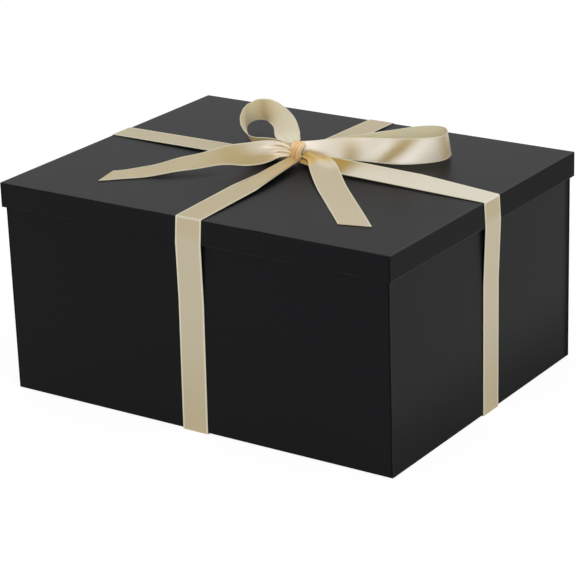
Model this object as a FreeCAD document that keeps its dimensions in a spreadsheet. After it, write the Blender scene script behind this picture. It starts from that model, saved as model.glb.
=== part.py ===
import FreeCAD, Part
import math
import os

import Sketcher

# Gift box: a rigid board box with a lift-off lid, both wrapped in black paper, tied with a satin ribbon.
# Millimetres, +Z up. The origin is on the surface that the box stands on, under the middle of the lid.
# +X runs along the long front, which faces -Y.

Vector = FreeCAD.Vector
doc = FreeCAD.newDocument("GiftBox")
sheet = doc.addObject("Spreadsheet::Sheet", "Sizes")

DRIVING_SIZES = {
    # Box, measured over the wrap and with the lid on
    "lid_length": 340.0,
    "lid_width": 267.0,
    "closed_height": 166.0,
    "rim_depth": 19.0,
    # Boards, papers and the fit of the lid
    "base_board": 2.0,
    "lid_board": 1.5,
    "paper": 0.2,
    "stay_paper": 0.2,
    "stay_leg": 10.0,
    "lid_clearance": 0.3,
    "base_turn_in": 15.0,
    "lid_turn_in": 12.0,
    "lining_step": 4.0,
    "bottom_sheet_inset": 3.0,
    # Ribbon, and where it crosses the edges of the box
    "ribbon_width": 22.0,
    "ribbon_thickness": 0.4,
    "ribbon_seat": 0.05,
    "cross_x": 1.0,
    "cross_y": 10.0,
    "front_edge_x": 3.5,
    "back_edge_x": -1.0,
    "left_edge_y": 15.0,
    "right_edge_y": 6.0,
    "under_x": -1.0,
    "under_y": 7.0,
    "hump_ramp": 8.0,
    "leg_split": 0.1,
    "leg_lift": 2.6,
    "leg_gather": 30.0,
    "leg_end_width": 9.0,
    # Bow
    "knot_length": 10.0,
    "knot_depth": 13.0,
    "knot_height": 20.0,
    "knot_clearance": 0.5,
    "left_loop_reach": 97.0,
    "left_loop_heading": 138.0,
    "right_loop_reach": 114.5,
    "right_loop_heading": 33.4,
    "left_tail_length": 144.4,
    "left_tail_heading": 220.5,
    "right_tail_length": 153.0,
    "right_tail_heading": -46.0,
    "tail_cut": 12.0,
}
for row, (alias, value) in enumerate(DRIVING_SIZES.items(), start=1):
    sheet.set(f"A{row}", alias)
    sheet.set(f"B{row}", str(value))
    sheet.setAlias(f"B{row}", alias)
doc.recompute()


def size(alias):
    return float(sheet.get(alias))


# Dimensions that follow from the driving sizes, as expressions on the sheet
OVERHANG = "(2*Sizes.paper + Sizes.stay_paper + Sizes.lid_board + Sizes.lid_clearance)"
BASE_LENGTH = f"(Sizes.lid_length - 2*{OVERHANG})"
BASE_WIDTH = f"(Sizes.lid_width - 2*{OVERHANG})"
BASE_BOTTOM = "(2*Sizes.ribbon_thickness)"
WRAP_BOTTOM = f"({BASE_BOTTOM} + Sizes.paper)"
FLOOR_BOTTOM = f"({WRAP_BOTTOM} + Sizes.paper)"
WALL_BOTTOM = f"({FLOOR_BOTTOM} + Sizes.stay_paper)"
LID_UNDERSIDE = "(Sizes.closed_height - 2*Sizes.paper - Sizes.stay_paper - Sizes.lid_board)"
WALL_HEIGHT = f"({LID_UNDERSIDE} - Sizes.paper - Sizes.stay_paper - {WALL_BOTTOM})"
RIM_BOTTOM = "(Sizes.closed_height - Sizes.rim_depth)"
RIM_BOARD_BOTTOM = f"({RIM_BOTTOM} + Sizes.paper + Sizes.stay_paper)"
LID_BOARD_TOP = "(Sizes.closed_height - Sizes.paper - Sizes.stay_paper)"
RIM_BOARD_HEIGHT = f"({LID_BOARD_TOP} - Sizes.lid_board - {RIM_BOARD_BOTTOM})"
SKIN = "(Sizes.paper + Sizes.stay_paper)"
BASE_INSET = f"({SKIN} + Sizes.base_board)"
LID_INSET = f"({SKIN} + Sizes.lid_board)"


def box(label, length, width, height, x, y, z):
    """A box of the given size whose underside is centred at x, y, z."""
    solid = doc.addObject("Part::Box", label)
    solid.Label = label
    solid.setExpression("Length", length)
    solid.setExpression("Width", width)
    solid.setExpression("Height", height)
    solid.setExpression("Placement.Base.x", f"{x} - {length}/2")
    solid.setExpression("Placement.Base.y", f"{y} - {width}/2")
    solid.setExpression("Placement.Base.z", z)
    return solid


def cut(label, base, tool):
    result = doc.addObject("Part::Cut", label)
    result.Label = label
    result.Base = base
    result.Tool = tool
    return result


def new_body(label):
    body = doc.addObject("PartDesign::Body", label)
    body.Label = label
    return body


def level_sketch(body, name, x, y, z):
    """An empty sketch parallel to the ground, with its own origin at x, y, z."""
    ground = next(plane for plane in body.Origin.OriginFeatures if plane.Role == "XY_Plane")
    sketch = body.newObject("Sketcher::SketchObject", name)
    sketch.AttachmentSupport = (ground, "")
    sketch.MapMode = "FlatFace"
    sketch.setExpression("AttachmentOffset.Base.x", x)
    sketch.setExpression("AttachmentOffset.Base.y", y)
    sketch.setExpression("AttachmentOffset.Base.z", z)
    return sketch


def add_rectangle(sketch, length, width):
    """A rectangle centred on the sketch's origin, its two sides bound to the sheet."""
    start_x, start_y = 2.0, 1.0
    corners = [
        Vector(-start_x, -start_y, 0),
        Vector(start_x, -start_y, 0),
        Vector(start_x, start_y, 0),
        Vector(-start_x, start_y, 0),
    ]
    first = sketch.GeometryCount
    lines = [first + side for side in range(4)]
    for side in range(4):
        sketch.addGeometry(Part.LineSegment(corners[side], corners[(side + 1) % 4]), False)
    for side in range(4):
        sketch.addConstraint(Sketcher.Constraint("Coincident", lines[side], 2, lines[(side + 1) % 4], 1))
    for side in (0, 2):
        sketch.addConstraint(Sketcher.Constraint("Horizontal", lines[side]))
    for side in (1, 3):
        sketch.addConstraint(Sketcher.Constraint("Vertical", lines[side]))
    sketch.addConstraint(Sketcher.Constraint("Symmetric", lines[0], 1, lines[2], 1, -1, 1))
    across = sketch.addConstraint(Sketcher.Constraint("DistanceX", lines[0], 1, lines[0], 2, 2 * start_x))
    sketch.setExpression(f"Constraints[{across}]", length)
    deep = sketch.addConstraint(Sketcher.Constraint("DistanceY", lines[1], 1, lines[1], 2, 2 * start_y))
    sketch.setExpression(f"Constraints[{deep}]", width)


def pad(body, name, rectangles, z, height):
    sketch = level_sketch(body, f"{name}_sketch", "0", "0", z)
    for length, width in rectangles:
        add_rectangle(sketch, length, width)
    feature = body.newObject("PartDesign::Pad", name)
    feature.Profile = sketch
    feature.setExpression("Length", height)
    return feature


def pocket_upwards(body, name, length, width, z, height):
    """A rectangular pocket cut upwards from z. It has to take something away."""
    doc.recompute()
    before = body.Shape.Volume
    sketch = level_sketch(body, f"{name}_sketch", "0", "0", z)
    add_rectangle(sketch, length, width)
    feature = body.newObject("PartDesign::Pocket", name)
    feature.Profile = sketch
    feature.Reversed = True
    feature.setExpression("Length", height)
    doc.recompute()
    if not body.Shape.Volume < before:
        raise RuntimeError(f"{name} cuts nothing")
    return feature


def round_folds(body, name, base, level):
    """Soften the upright edges of a block and those of its face at the given level."""
    doc.recompute()
    edges = []
    for number, edge in enumerate(base.Shape.Edges, start=1):
        bounds = edge.BoundBox
        upright = bounds.ZLength > max(bounds.XLength, bounds.YLength)
        if upright or abs(bounds.Center.z - level) < 0.001:
            edges.append(f"Edge{number}")
    feature = body.newObject("PartDesign::Fillet", name)
    feature.Base = (base, edges)
    feature.setExpression("Radius", "2*Sizes.paper")
    return feature


def paper_skin(label, length, width, bottom, height, fold_level):
    """A wrapped block: the outer form of a paper skin, with softened folds, and the room for its boards."""
    body = new_body(label)
    block = pad(body, f"{label}_block", [(length, width)], bottom, height)
    round_folds(body, f"{label}_folds", block, fold_level)
    pocket_upwards(
        body,
        f"{label}_board_room",
        f"({length} - 2*Sizes.paper)",
        f"({width} - 2*Sizes.paper)",
        f"{bottom} + Sizes.paper",
        f"{height} - 2*Sizes.paper",
    )
    return body


def corner_stays(label, length, width, bottom, height):
    """Four angled paper strips round the outside corners of a board frame of the given size."""
    outer = box(f"{label}_outer", f"({length} + 2*Sizes.stay_paper)", f"({width} + 2*Sizes.stay_paper)",
                height, "0", "0", bottom)
    inner = box(f"{label}_inner", length, width, height, "0", "0", bottom)
    frame = cut(f"{label}_frame", outer, inner)
    long_gap = box(f"{label}_long_gap", f"({length} - 2*Sizes.stay_leg)", f"({width} + 4*Sizes.stay_paper)",
                   height, "0", "0", bottom)
    ends = cut(f"{label}_ends", frame, long_gap)
    short_gap = box(f"{label}_short_gap", f"({length} + 4*Sizes.stay_paper)", f"({width} - 2*Sizes.stay_leg)",
                    height, "0", "0", bottom)
    return cut(label, ends, short_gap)


def wall_boards(prefix, suffix, length, width, board, bottom, height):
    """Four boards on edge: front and back run the full length, left and right fit between them."""
    short = f"({width} - 2*{board})"
    across = f"({width} - {board})/2"
    along = f"({length} - {board})/2"
    return [
        box(f"{prefix}_front_{suffix}", length, board, height, "0", f"-{across}", bottom),
        box(f"{prefix}_back_{suffix}", length, board, height, "0", across, bottom),
        box(f"{prefix}_left_{suffix}", board, short, height, f"-{along}", "0", bottom),
        box(f"{prefix}_right_{suffix}", board, short, height, along, "0", bottom),
    ]


# Base: floor and wall boards
nodes = []
base_frame_length = f"({BASE_LENGTH} - 2*{SKIN})"
base_frame_width = f"({BASE_WIDTH} - 2*{SKIN})"
nodes.append(box(
    "base_floor_board",
    f"({BASE_LENGTH} - 2*{BASE_INSET})",
    f"({BASE_WIDTH} - 2*{BASE_INSET})",
    "Sizes.base_board", "0", "0", FLOOR_BOTTOM,
))
nodes += wall_boards("base", "wall", base_frame_length, base_frame_width, "Sizes.base_board",
                     WALL_BOTTOM, WALL_HEIGHT)
nodes.append(corner_stays("base_corner_stays", base_frame_length, base_frame_width,
                          WALL_BOTTOM, WALL_HEIGHT))

# Base: outer wrap, turned under the floor and down inside the rim
wrap_height = f"({LID_UNDERSIDE} - {WRAP_BOTTOM})"
fold_level = 2 * size("ribbon_thickness") + size("paper")
base_wrap = paper_skin("base_wrap", BASE_LENGTH, BASE_WIDTH, WRAP_BOTTOM, wrap_height, fold_level)
pocket_upwards(
    base_wrap, "base_wrap_floor_opening",
    f"({BASE_LENGTH} - 2*Sizes.base_turn_in)", f"({BASE_WIDTH} - 2*Sizes.base_turn_in)",
    WRAP_BOTTOM, "Sizes.paper",
)
base_mouth = [
    (f"({BASE_LENGTH} - 2*{BASE_INSET} - 2*Sizes.paper)", f"({BASE_WIDTH} - 2*{BASE_INSET} - 2*Sizes.paper)"),
    (f"({BASE_LENGTH} - 2*{BASE_INSET})", f"({BASE_WIDTH} - 2*{BASE_INSET})"),
]
pocket_upwards(
    base_wrap, "base_wrap_mouth", base_mouth[0][0], base_mouth[0][1],
    f"{LID_UNDERSIDE} - Sizes.paper", "Sizes.paper",
)
pad(base_wrap, "base_wrap_turn_in", base_mouth, f"{LID_UNDERSIDE} - Sizes.base_turn_in", "Sizes.base_turn_in")
nodes.append(base_wrap)

# Base: the sheet under the floor and the linings inside
nodes.append(box(
    "base_bottom_sheet",
    f"({BASE_LENGTH} - 2*Sizes.bottom_sheet_inset)", f"({BASE_WIDTH} - 2*Sizes.bottom_sheet_inset)",
    "Sizes.paper", "0", "0", BASE_BOTTOM,
))
floor_top = f"({FLOOR_BOTTOM} + Sizes.base_board)"
nodes.append(box(
    "base_floor_lining",
    f"({BASE_LENGTH} - 2*{BASE_INSET} - 4*Sizes.paper)", f"({BASE_WIDTH} - 2*{BASE_INSET} - 4*Sizes.paper)",
    "Sizes.paper", "0", "0", floor_top,
))
base_wall_lining = new_body("base_wall_lining")
pad(
    base_wall_lining, "base_wall_lining_pad",
    [
        (f"({BASE_LENGTH} - 2*{BASE_INSET} - 2*Sizes.paper)", f"({BASE_WIDTH} - 2*{BASE_INSET} - 2*Sizes.paper)"),
        (f"({BASE_LENGTH} - 2*{BASE_INSET} - 4*Sizes.paper)", f"({BASE_WIDTH} - 2*{BASE_INSET} - 4*Sizes.paper)"),
    ],
    floor_top, f"{LID_UNDERSIDE} - Sizes.lining_step - {floor_top}",
)
nodes.append(base_wall_lining)

# Lid: top and rim boards
lid_frame_length = f"(Sizes.lid_length - 2*{SKIN})"
lid_frame_width = f"(Sizes.lid_width - 2*{SKIN})"
nodes.append(box("lid_top_board", lid_frame_length, lid_frame_width, "Sizes.lid_board",
                 "0", "0", f"{LID_BOARD_TOP} - Sizes.lid_board"))
nodes += wall_boards("lid", "rim", lid_frame_length, lid_frame_width, "Sizes.lid_board",
                     RIM_BOARD_BOTTOM, RIM_BOARD_HEIGHT)
nodes.append(corner_stays("lid_corner_stays", lid_frame_length, lid_frame_width,
                          RIM_BOARD_BOTTOM, RIM_BOARD_HEIGHT))

# Lid: outer wrap, turned in round the rim's lower edge, and the lining under the top
lid_wrap = paper_skin("lid_wrap", "Sizes.lid_length", "Sizes.lid_width", RIM_BOTTOM, "Sizes.rim_depth",
                      size("closed_height"))
lid_mouth = [
    (f"(Sizes.lid_length - 2*{LID_INSET} - 2*Sizes.paper)", f"(Sizes.lid_width - 2*{LID_INSET} - 2*Sizes.paper)"),
    (f"(Sizes.lid_length - 2*{LID_INSET})", f"(Sizes.lid_width - 2*{LID_INSET})"),
]
pocket_upwards(lid_wrap, "lid_wrap_mouth", lid_mouth[0][0], lid_mouth[0][1], RIM_BOTTOM, "Sizes.paper")
pad(lid_wrap, "lid_wrap_turn_in", lid_mouth, RIM_BOTTOM, "Sizes.lid_turn_in")
nodes.append(lid_wrap)
nodes.append(box(
    "lid_lining", f"(Sizes.lid_length - 2*{LID_INSET})", f"(Sizes.lid_width - 2*{LID_INSET})",
    "Sizes.paper", "0", "0", LID_UNDERSIDE,
))

# Ribbon: where it passes the lid's edges and the rim's lower edge, and how far it stands off the box
thickness = size("ribbon_thickness")
ribbon_width = size("ribbon_width")
stand_off = size("ribbon_seat") + thickness / 2
lid_top = size("closed_height")
rim_bottom = lid_top - size("rim_depth")
crossing = Vector(size("cross_x"), size("cross_y"), lid_top)
STAND_OFF = "(Sizes.ribbon_seat + Sizes.ribbon_thickness/2)"
RIM_SHARE = "(Sizes.rim_depth/Sizes.closed_height)"


def at_rim(edge, under):
    """Where a straight stretch from the lid's edge to the underside passes the rim's lower edge."""
    return f"({edge} + ({under} - {edge})*{RIM_SHARE})"


def wall_stretch(label, length, width, bottom, top):
    """A stretch of ribbon up one wall, from the underside to the lid's rim. It leans out with the rim."""
    body = new_body(label)
    lower = level_sketch(body, f"{label}_lower", bottom[0], bottom[1], "Sizes.ribbon_thickness")
    add_rectangle(lower, length, width)
    upper = level_sketch(body, f"{label}_upper", top[0], top[1], f"{RIM_BOTTOM} - Sizes.leg_split")
    add_rectangle(upper, length, width)
    doc.recompute()
    loft = body.newObject("PartDesign::AdditiveLoft", f"{label}_loft")
    loft.Profile = lower
    loft.Sections = [upper]
    loft.Ruled = True
    return body


base_y = f"({BASE_WIDTH}/2 + {STAND_OFF})"
base_x = f"({BASE_LENGTH}/2 + {STAND_OFF})"
lid_y = f"(Sizes.lid_width/2 + {STAND_OFF})"
lid_x = f"(Sizes.lid_length/2 + {STAND_OFF})"
nodes.append(wall_stretch(
    "ribbon_front_wall", "Sizes.ribbon_width", "Sizes.ribbon_thickness",
    ("Sizes.under_x", f"-{base_y}"), (at_rim("Sizes.front_edge_x", "Sizes.under_x"), f"-{lid_y}"),
))
nodes.append(wall_stretch(
    "ribbon_back_wall", "Sizes.ribbon_width", "Sizes.ribbon_thickness",
    ("Sizes.under_x", base_y), (at_rim("Sizes.back_edge_x", "Sizes.under_x"), lid_y),
))
nodes.append(wall_stretch(
    "ribbon_left_wall", "Sizes.ribbon_thickness", "Sizes.ribbon_width",
    (f"-{base_x}", "Sizes.under_y"), (f"-{lid_x}", at_rim("Sizes.left_edge_y", "Sizes.under_y")),
))
nodes.append(wall_stretch(
    "ribbon_right_wall", "Sizes.ribbon_thickness", "Sizes.ribbon_width",
    (base_x, "Sizes.under_y"), (lid_x, at_rim("Sizes.right_edge_y", "Sizes.under_y")),
))
nodes.append(box(
    "ribbon_under_lengthwise", f"(2*{base_x} + Sizes.ribbon_thickness)", "Sizes.ribbon_width",
    "Sizes.ribbon_thickness", "0", "Sizes.under_y", "0",
))


def section(middle, across, normal, width):
    """The ribbon's cross-section, as a closed outline."""
    half = across * (width / 2)
    rise = normal * (thickness / 2)
    corners = [middle - half - rise, middle + half - rise, middle + half + rise, middle - half + rise]
    return Part.makePolygon(corners + corners[:1])


def add_shape(label, shape):
    feature = doc.addObject("Part::Feature", label)
    feature.Label = label
    feature.Shape = shape
    nodes.append(feature)
    return feature


def flat_run(points, across, widths):
    """A ruled stretch of ribbon along points, with a fixed direction across it."""
    outlines = []
    for place, point in enumerate(points):
        before = points[max(place - 1, 0)]
        after = points[min(place + 1, len(points) - 1)]
        normal = (after - before).cross(across).normalize()
        outlines.append(section(point, across, normal, widths[place]))
    return Part.makeLoft(outlines, True, True)


# Ribbon: the crosswise stretch under the base, which climbs over the lengthwise one
reach_y = (size("lid_width") - 2 * (
    2 * size("paper") + size("stay_paper") + size("lid_board") + size("lid_clearance")
)) / 2 + size("ribbon_seat") + thickness
hump_flat = ribbon_width / 2 + thickness
hump_foot = hump_flat + size("hump_ramp")
under_x = size("under_x")
under_y = size("under_y")
low = thickness / 2
high = thickness * 1.5
under_points = [
    Vector(under_x, -reach_y, low),
    Vector(under_x, under_y - hump_foot, low),
    Vector(under_x, under_y - hump_flat, high),
    Vector(under_x, under_y + hump_flat, high),
    Vector(under_x, under_y + hump_foot, low),
    Vector(under_x, reach_y, low),
]
add_shape("ribbon_under_crosswise", flat_run(under_points, Vector(1, 0, 0), [ribbon_width] * len(under_points)))


def oval(x, half_depth, half_height, middle):
    """One upright oval outline across the knot, in four arcs."""
    ellipse = Part.Ellipse(Vector(0, 0, 0), half_height, half_depth)
    arcs = []
    for quarter in range(4):
        arcs.append(ellipse.toShape(quarter * math.pi / 2, (quarter + 1) * math.pi / 2))
    outline = Part.Wire(arcs)
    upright = FreeCAD.Rotation(Vector(0, 0, 1), Vector(0, -1, 0), Vector(1, 0, 0), "ZXY")
    outline.Placement = FreeCAD.Placement(middle + Vector(x, 0, 0), upright)
    return outline


# Bow: the knot, a short drum of pleats wrapped round the bow's middle
knot_half_height = size("knot_height") / 2
knot_half_depth = size("knot_depth") / 2
knot_middle = crossing + Vector(0, 0, size("knot_clearance") + knot_half_height)
KNOT_PLEATS = (
    (-0.50, 0.82),
    (-0.38, 0.97),
    (-0.20, 0.92),
    (-0.06, 1.00),
    (0.10, 1.00),
    (0.22, 0.92),
    (0.38, 0.97),
    (0.50, 0.82),
)
knot = Part.makeLoft(
    [oval(place * size("knot_length"), knot_half_depth * share, knot_half_height * share, knot_middle)
     for place, share in KNOT_PLEATS],
    True, True,
)
add_shape("bow_knot", knot)


def clear_of_knot(shape):
    """What is left of a strand outside the knot."""
    return max(shape.cut(knot).Solids, key=lambda solid: solid.Volume)


def top_stretch(label, outward, across, edge, edge_place, under_place, end_gap, end_lift):
    """A stretch from the rim's lower edge, over the lid's edge and up a straight slope to the knot."""
    fold = 2 * size("paper")
    radius = fold + stand_off
    at_edge = across * edge_place
    down_share = size("rim_depth") / size("closed_height")
    at_lower = across * (edge_place + (under_place - edge_place) * down_share)
    points = [at_lower + outward * (edge + stand_off) + Vector(0, 0, rim_bottom)]
    for step in range(5):
        angle = math.radians(22.5 * step)
        out = edge - fold + radius * math.cos(angle)
        up = lid_top - fold + radius * math.sin(angle)
        points.append(at_edge + outward * out + Vector(0, 0, up))
    start = points[-1]
    end = crossing + outward * end_gap + Vector(0, 0, stand_off + end_lift)
    run = (end - start).Length
    gather_at = start + (end - start) * (1 - size("leg_gather") / run)
    points += [gather_at, end]
    widths = [ribbon_width] * (len(points) - 1) + [size("leg_end_width")]
    add_shape(label, clear_of_knot(flat_run(points, across, widths)))


half_length = size("lid_length") / 2
half_width = size("lid_width") / 2
long_gap = size("leg_end_width") / 2
cross_gap = size("knot_depth") / 5
long_lift = size("leg_lift")
cross_lift = long_lift + 2 * thickness
top_stretch("ribbon_front_top", Vector(0, -1, 0), Vector(1, 0, 0), half_width,
            size("front_edge_x"), under_x, cross_gap, cross_lift)
top_stretch("ribbon_back_top", Vector(0, 1, 0), Vector(1, 0, 0), half_width,
            size("back_edge_x"), under_x, cross_gap, cross_lift)
top_stretch("ribbon_left_top", Vector(-1, 0, 0), Vector(0, 1, 0), half_length,
            size("left_edge_y"), under_y, long_gap, long_lift)
top_stretch("ribbon_right_top", Vector(1, 0, 0), Vector(0, 1, 0), half_length,
            size("right_edge_y"), under_y, long_gap, long_lift)

# Bow: each strand is a row of stations. A station gives the distance out along the strand's heading and the
# distance aside, as shares of the strand's reach; the height of the ribbon's middle over its lowest seat, as
# a share of the ribbon's width; the bank, 0 lying flat and 90 on edge; and the share of the full width.
LEFT_LOOP = (
    (0.045, -0.005, 0.68, 14, 0.36),
    (0.155, 0.020, 0.735, 12, 0.78),
    (0.35, -0.005, 0.735, 17, 0.88),
    (0.525, -0.030, 0.75, 28, 0.92),
    (0.71, -0.040, 0.75, 47, 0.96),
    (0.855, -0.025, 0.735, 71, 1.0),
    (0.955, 0.000, 0.715, 93, 1.0),
    (1.0, 0.057, 0.705, 106, 1.0),
    (0.965, 0.128, 0.685, 107, 1.0),
    (0.86, 0.190, 0.64, 97, 1.0),
    (0.69, 0.248, 0.56, 78, 1.0),
    (0.557, 0.262, 0.46, 58, 1.0),
    (0.464, 0.250, 0.37, 44, 1.0),
    (0.37, 0.208, 0.33, 38, 0.95),
    (0.185, 0.113, 0.42, 52, 0.75),
    (0.045, 0.020, 0.40, 62, 0.43),
)
RIGHT_LOOP = (
    (0.026, -0.009, 0.52, -90, 0.55),
    (0.122, -0.022, 0.52, -90, 0.64),
    (0.27, -0.052, 0.52, -90, 0.92),
    (0.437, -0.092, 0.525, -90, 1.0),
    (0.576, -0.127, 0.532, -90, 1.0),
    (0.70, -0.147, 0.537, -90, 1.0),
    (0.82, -0.135, 0.532, -90, 1.0),
    (0.926, -0.092, 0.532, -90, 1.0),
    (0.99, -0.017, 0.532, -90, 1.0),
    (1.0, 0.061, 0.532, -90, 1.0),
    (0.965, 0.131, 0.522, -90, 1.0),
    (0.882, 0.157, 0.512, -90, 1.0),
    (0.77, 0.131, 0.505, -90, 1.0),
    (0.63, 0.079, 0.50, -90, 1.0),
    (0.454, 0.035, 0.505, -90, 0.92),
    (0.26, 0.017, 0.51, -90, 0.80),
    (0.035, 0.017, 0.52, -90, 0.55),
)
LEFT_TAIL = (
    (0.035, 0.012, 0.42, 58, 0.34),
    (0.09, -0.012, 0.49, 50, 0.62),
    (0.173, -0.028, 0.46, 40, 0.92),
    (0.277, -0.028, 0.425, 34, 1.0),
    (0.40, -0.017, 0.415, 24, 1.0),
    (0.54, -0.007, 0.32, 13, 1.0),
    (0.68, 0.000, 0.172, 8, 1.0),
    (0.817, 0.000, 0.052, 3, 1.0),
    (0.928, 0.000, 0.012, 0, 1.0),
    (1.0, 0.000, 0.010, 0, 1.0),
)
RIGHT_TAIL = (
    (0.013, 0.012, 0.19, 4, 0.36),
    (0.06, 0.034, 0.20, 4, 0.50),
    (0.13, 0.070, 0.22, 2, 0.86),
    (0.275, 0.083, 0.15, 0, 1.0),
    (0.43, 0.082, 0.06, 0, 1.0),
    (0.65, 0.082, 0.012, 0, 1.0),
    (0.85, 0.080, 0.010, 0, 1.0),
    (1.0, 0.077, 0.010, 0, 1.0),
)


def between(before, start, end, after, share):
    """A value on the smooth curve from start to end."""
    bend = 2 * before - 5 * start + 4 * end - after
    twist = 3 * start - before - 3 * end + after
    return start + 0.5 * share * (end - before + share * (bend + share * twist))


def smooth_rows(stations):
    """The stations and the rows of a smooth curve between them."""
    rows = []
    last = len(stations) - 1
    for place in range(last):
        around = [stations[min(max(place + step, 0), last)] for step in (-1, 0, 1, 2)]
        for part in range(8):
            rows.append([between(*values, part / 8) for values in zip(*around)])
    rows.append(list(stations[last]))
    return rows


def even_rows(rows, middles):
    """Rows and middles at even steps along the strand, each step a little under half the ribbon's width."""
    walked = [0.0]
    for before, after in zip(middles, middles[1:]):
        walked.append(walked[-1] + (after - before).Length)
    count = round(2.4 * walked[-1] / ribbon_width)
    picked = []
    place = 0
    for step in range(count + 1):
        target = walked[-1] * step / count
        while place < len(rows) - 2 and walked[place + 1] < target:
            place += 1
        share = (target - walked[place]) / (walked[place + 1] - walked[place])
        row = [start + (end - start) * share for start, end in zip(rows[place], rows[place + 1])]
        picked.append((row, middles[place] + (middles[place + 1] - middles[place]) * share))
    return picked


def strand(label, heading, reach, stations, end_cut):
    """A stretch of the bow, gathered in the knot at its start. end_cut is the lead of one corner at its end."""
    turned = math.radians(heading)
    out = Vector(math.cos(turned), math.sin(turned), 0)
    aside = Vector(-out.y, out.x, 0)
    rows = smooth_rows(stations)
    middles = []
    for row in rows:
        lift = Vector(0, 0, stand_off + row[2] * ribbon_width)
        middles.append(crossing + out * (row[0] * reach) + aside * (row[1] * reach) + lift)
    picked = even_rows(rows, middles)
    outlines = []
    for place, (row, middle) in enumerate(picked):
        before = picked[max(place - 1, 0)][1]
        after = picked[min(place + 1, len(picked) - 1)][1]
        travel = (after - before).normalize()
        level = Vector(-travel.y, travel.x, 0).normalize()
        upward = travel.cross(level)
        bank = math.radians(row[3])
        across = level * math.cos(bank) - upward * math.sin(bank)
        normal = travel.cross(across)
        width = row[4] * ribbon_width
        if place == len(picked) - 1:
            across = across + travel * (end_cut / width)
        outlines.append(section(middle, across, normal, width))
    add_shape(label, clear_of_knot(Part.makeLoft(outlines, True, True)))


strand("bow_loop_left", size("left_loop_heading"), size("left_loop_reach"), LEFT_LOOP, 0)
strand("bow_loop_right", size("right_loop_heading"), size("right_loop_reach"), RIGHT_LOOP, 0)
strand("bow_tail_left", size("left_tail_heading"), size("left_tail_length"), LEFT_TAIL, size("tail_cut"))
strand("bow_tail_right", size("right_tail_heading"), size("right_tail_length"), RIGHT_TAIL, size("tail_cut"))

# Every object has to be sound before any file is written
doc.recompute()
for item in doc.Objects:
    if "Invalid" in item.State or "Error" in item.State:
        raise RuntimeError(f"{item.Label} did not rebuild")
for node in nodes:
    if node.Shape.isNull() or not node.Shape.isValid() or node.Shape.Volume <= 0:
        raise RuntimeError(f"{node.Label} has no valid shape")
os.makedirs("parts", exist_ok=True)
for node in nodes:
    node.Shape.exportStep(f"parts/{node.Label}.step")
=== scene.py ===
import math

import bmesh
import bpy
from mathutils import Matrix, Vector


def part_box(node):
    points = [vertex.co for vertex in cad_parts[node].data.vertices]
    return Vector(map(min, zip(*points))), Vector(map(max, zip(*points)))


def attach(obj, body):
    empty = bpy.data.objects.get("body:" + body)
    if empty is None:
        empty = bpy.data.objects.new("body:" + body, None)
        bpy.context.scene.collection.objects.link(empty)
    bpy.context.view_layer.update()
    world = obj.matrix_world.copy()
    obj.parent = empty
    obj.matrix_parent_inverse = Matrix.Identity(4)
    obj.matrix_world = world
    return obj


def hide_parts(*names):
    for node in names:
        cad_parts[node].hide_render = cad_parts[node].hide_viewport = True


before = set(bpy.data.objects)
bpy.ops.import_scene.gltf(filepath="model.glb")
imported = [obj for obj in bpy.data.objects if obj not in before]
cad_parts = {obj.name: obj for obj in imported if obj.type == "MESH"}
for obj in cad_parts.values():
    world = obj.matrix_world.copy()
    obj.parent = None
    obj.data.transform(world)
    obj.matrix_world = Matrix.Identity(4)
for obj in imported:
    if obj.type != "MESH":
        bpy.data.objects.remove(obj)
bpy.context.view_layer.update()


# Greyboard carcass: a floor and four walls for the base, a top and four rims for the lid.
# Each is a plain sheet of dense recycled packaging board, cut square, butted at the corners and glued.

class Shade:
    """A value on a surface. Sums and products of shades add the nodes that work them out."""

    def __init__(self, nodes, socket):
        self.nodes = nodes
        self.socket = socket

    def combine(self, operation, first, second):
        return self.nodes.add("ShaderNodeMath", {"operation": operation}, {0: first, 1: second})

    def __add__(self, other):
        return self.combine("ADD", self, other)

    __radd__ = __add__

    def __sub__(self, other):
        return self.combine("SUBTRACT", self, other)

    def __rsub__(self, other):
        return self.combine("SUBTRACT", other, self)

    def __mul__(self, other):
        return self.combine("MULTIPLY", self, other)

    __rmul__ = __mul__

    def __abs__(self):
        return self.combine("ABSOLUTE", self, 0.0)

    def least(self, other):
        return self.combine("MINIMUM", self, other)

    def most(self, other):
        return self.combine("MAXIMUM", self, other)

    def ramp(self, start, end):
        """0 up to start, 1 from end on, with a soft step between. It falls where start is above end."""
        step = {"interpolation_type": "SMOOTHSTEP"}
        low, high = (0.0, 1.0) if start < end else (1.0, 0.0)
        ends = {"From Min": min(start, end), "From Max": max(start, end), "To Min": low, "To Max": high}
        return self.nodes.add("ShaderNodeMapRange", step, {"Value": self, **ends})


class Nodes:
    """The nodes of a finish or of the surround."""

    def __init__(self, tree):
        self.tree = tree
        self.tree.nodes.clear()

    def feed(self, socket, value):
        """Links a shade to a socket, or sets a plain value on it."""
        if isinstance(value, Shade):
            self.tree.links.new(value.socket, socket)
        else:
            socket.default_value = value

    def make(self, kind, settings=None, sockets=None):
        """A new node. Its settings come first, because they can change its sockets."""
        node = self.tree.nodes.new(kind)
        for name, value in (settings or {}).items():
            setattr(node, name, value)
        for name, value in (sockets or {}).items():
            self.feed(node.inputs[name], value)
        return node

    def add(self, kind, settings=None, sockets=None, output=0):
        """What a new node gives out, as a shade."""
        return Shade(self, self.make(kind, settings, sockets).outputs[output])

    def mix(self, share, first, second):
        """A colour between first and second."""
        return self.add("ShaderNodeMix", {"data_type": "RGBA"}, {0: share, 6: first, 7: second}, 2)


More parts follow.
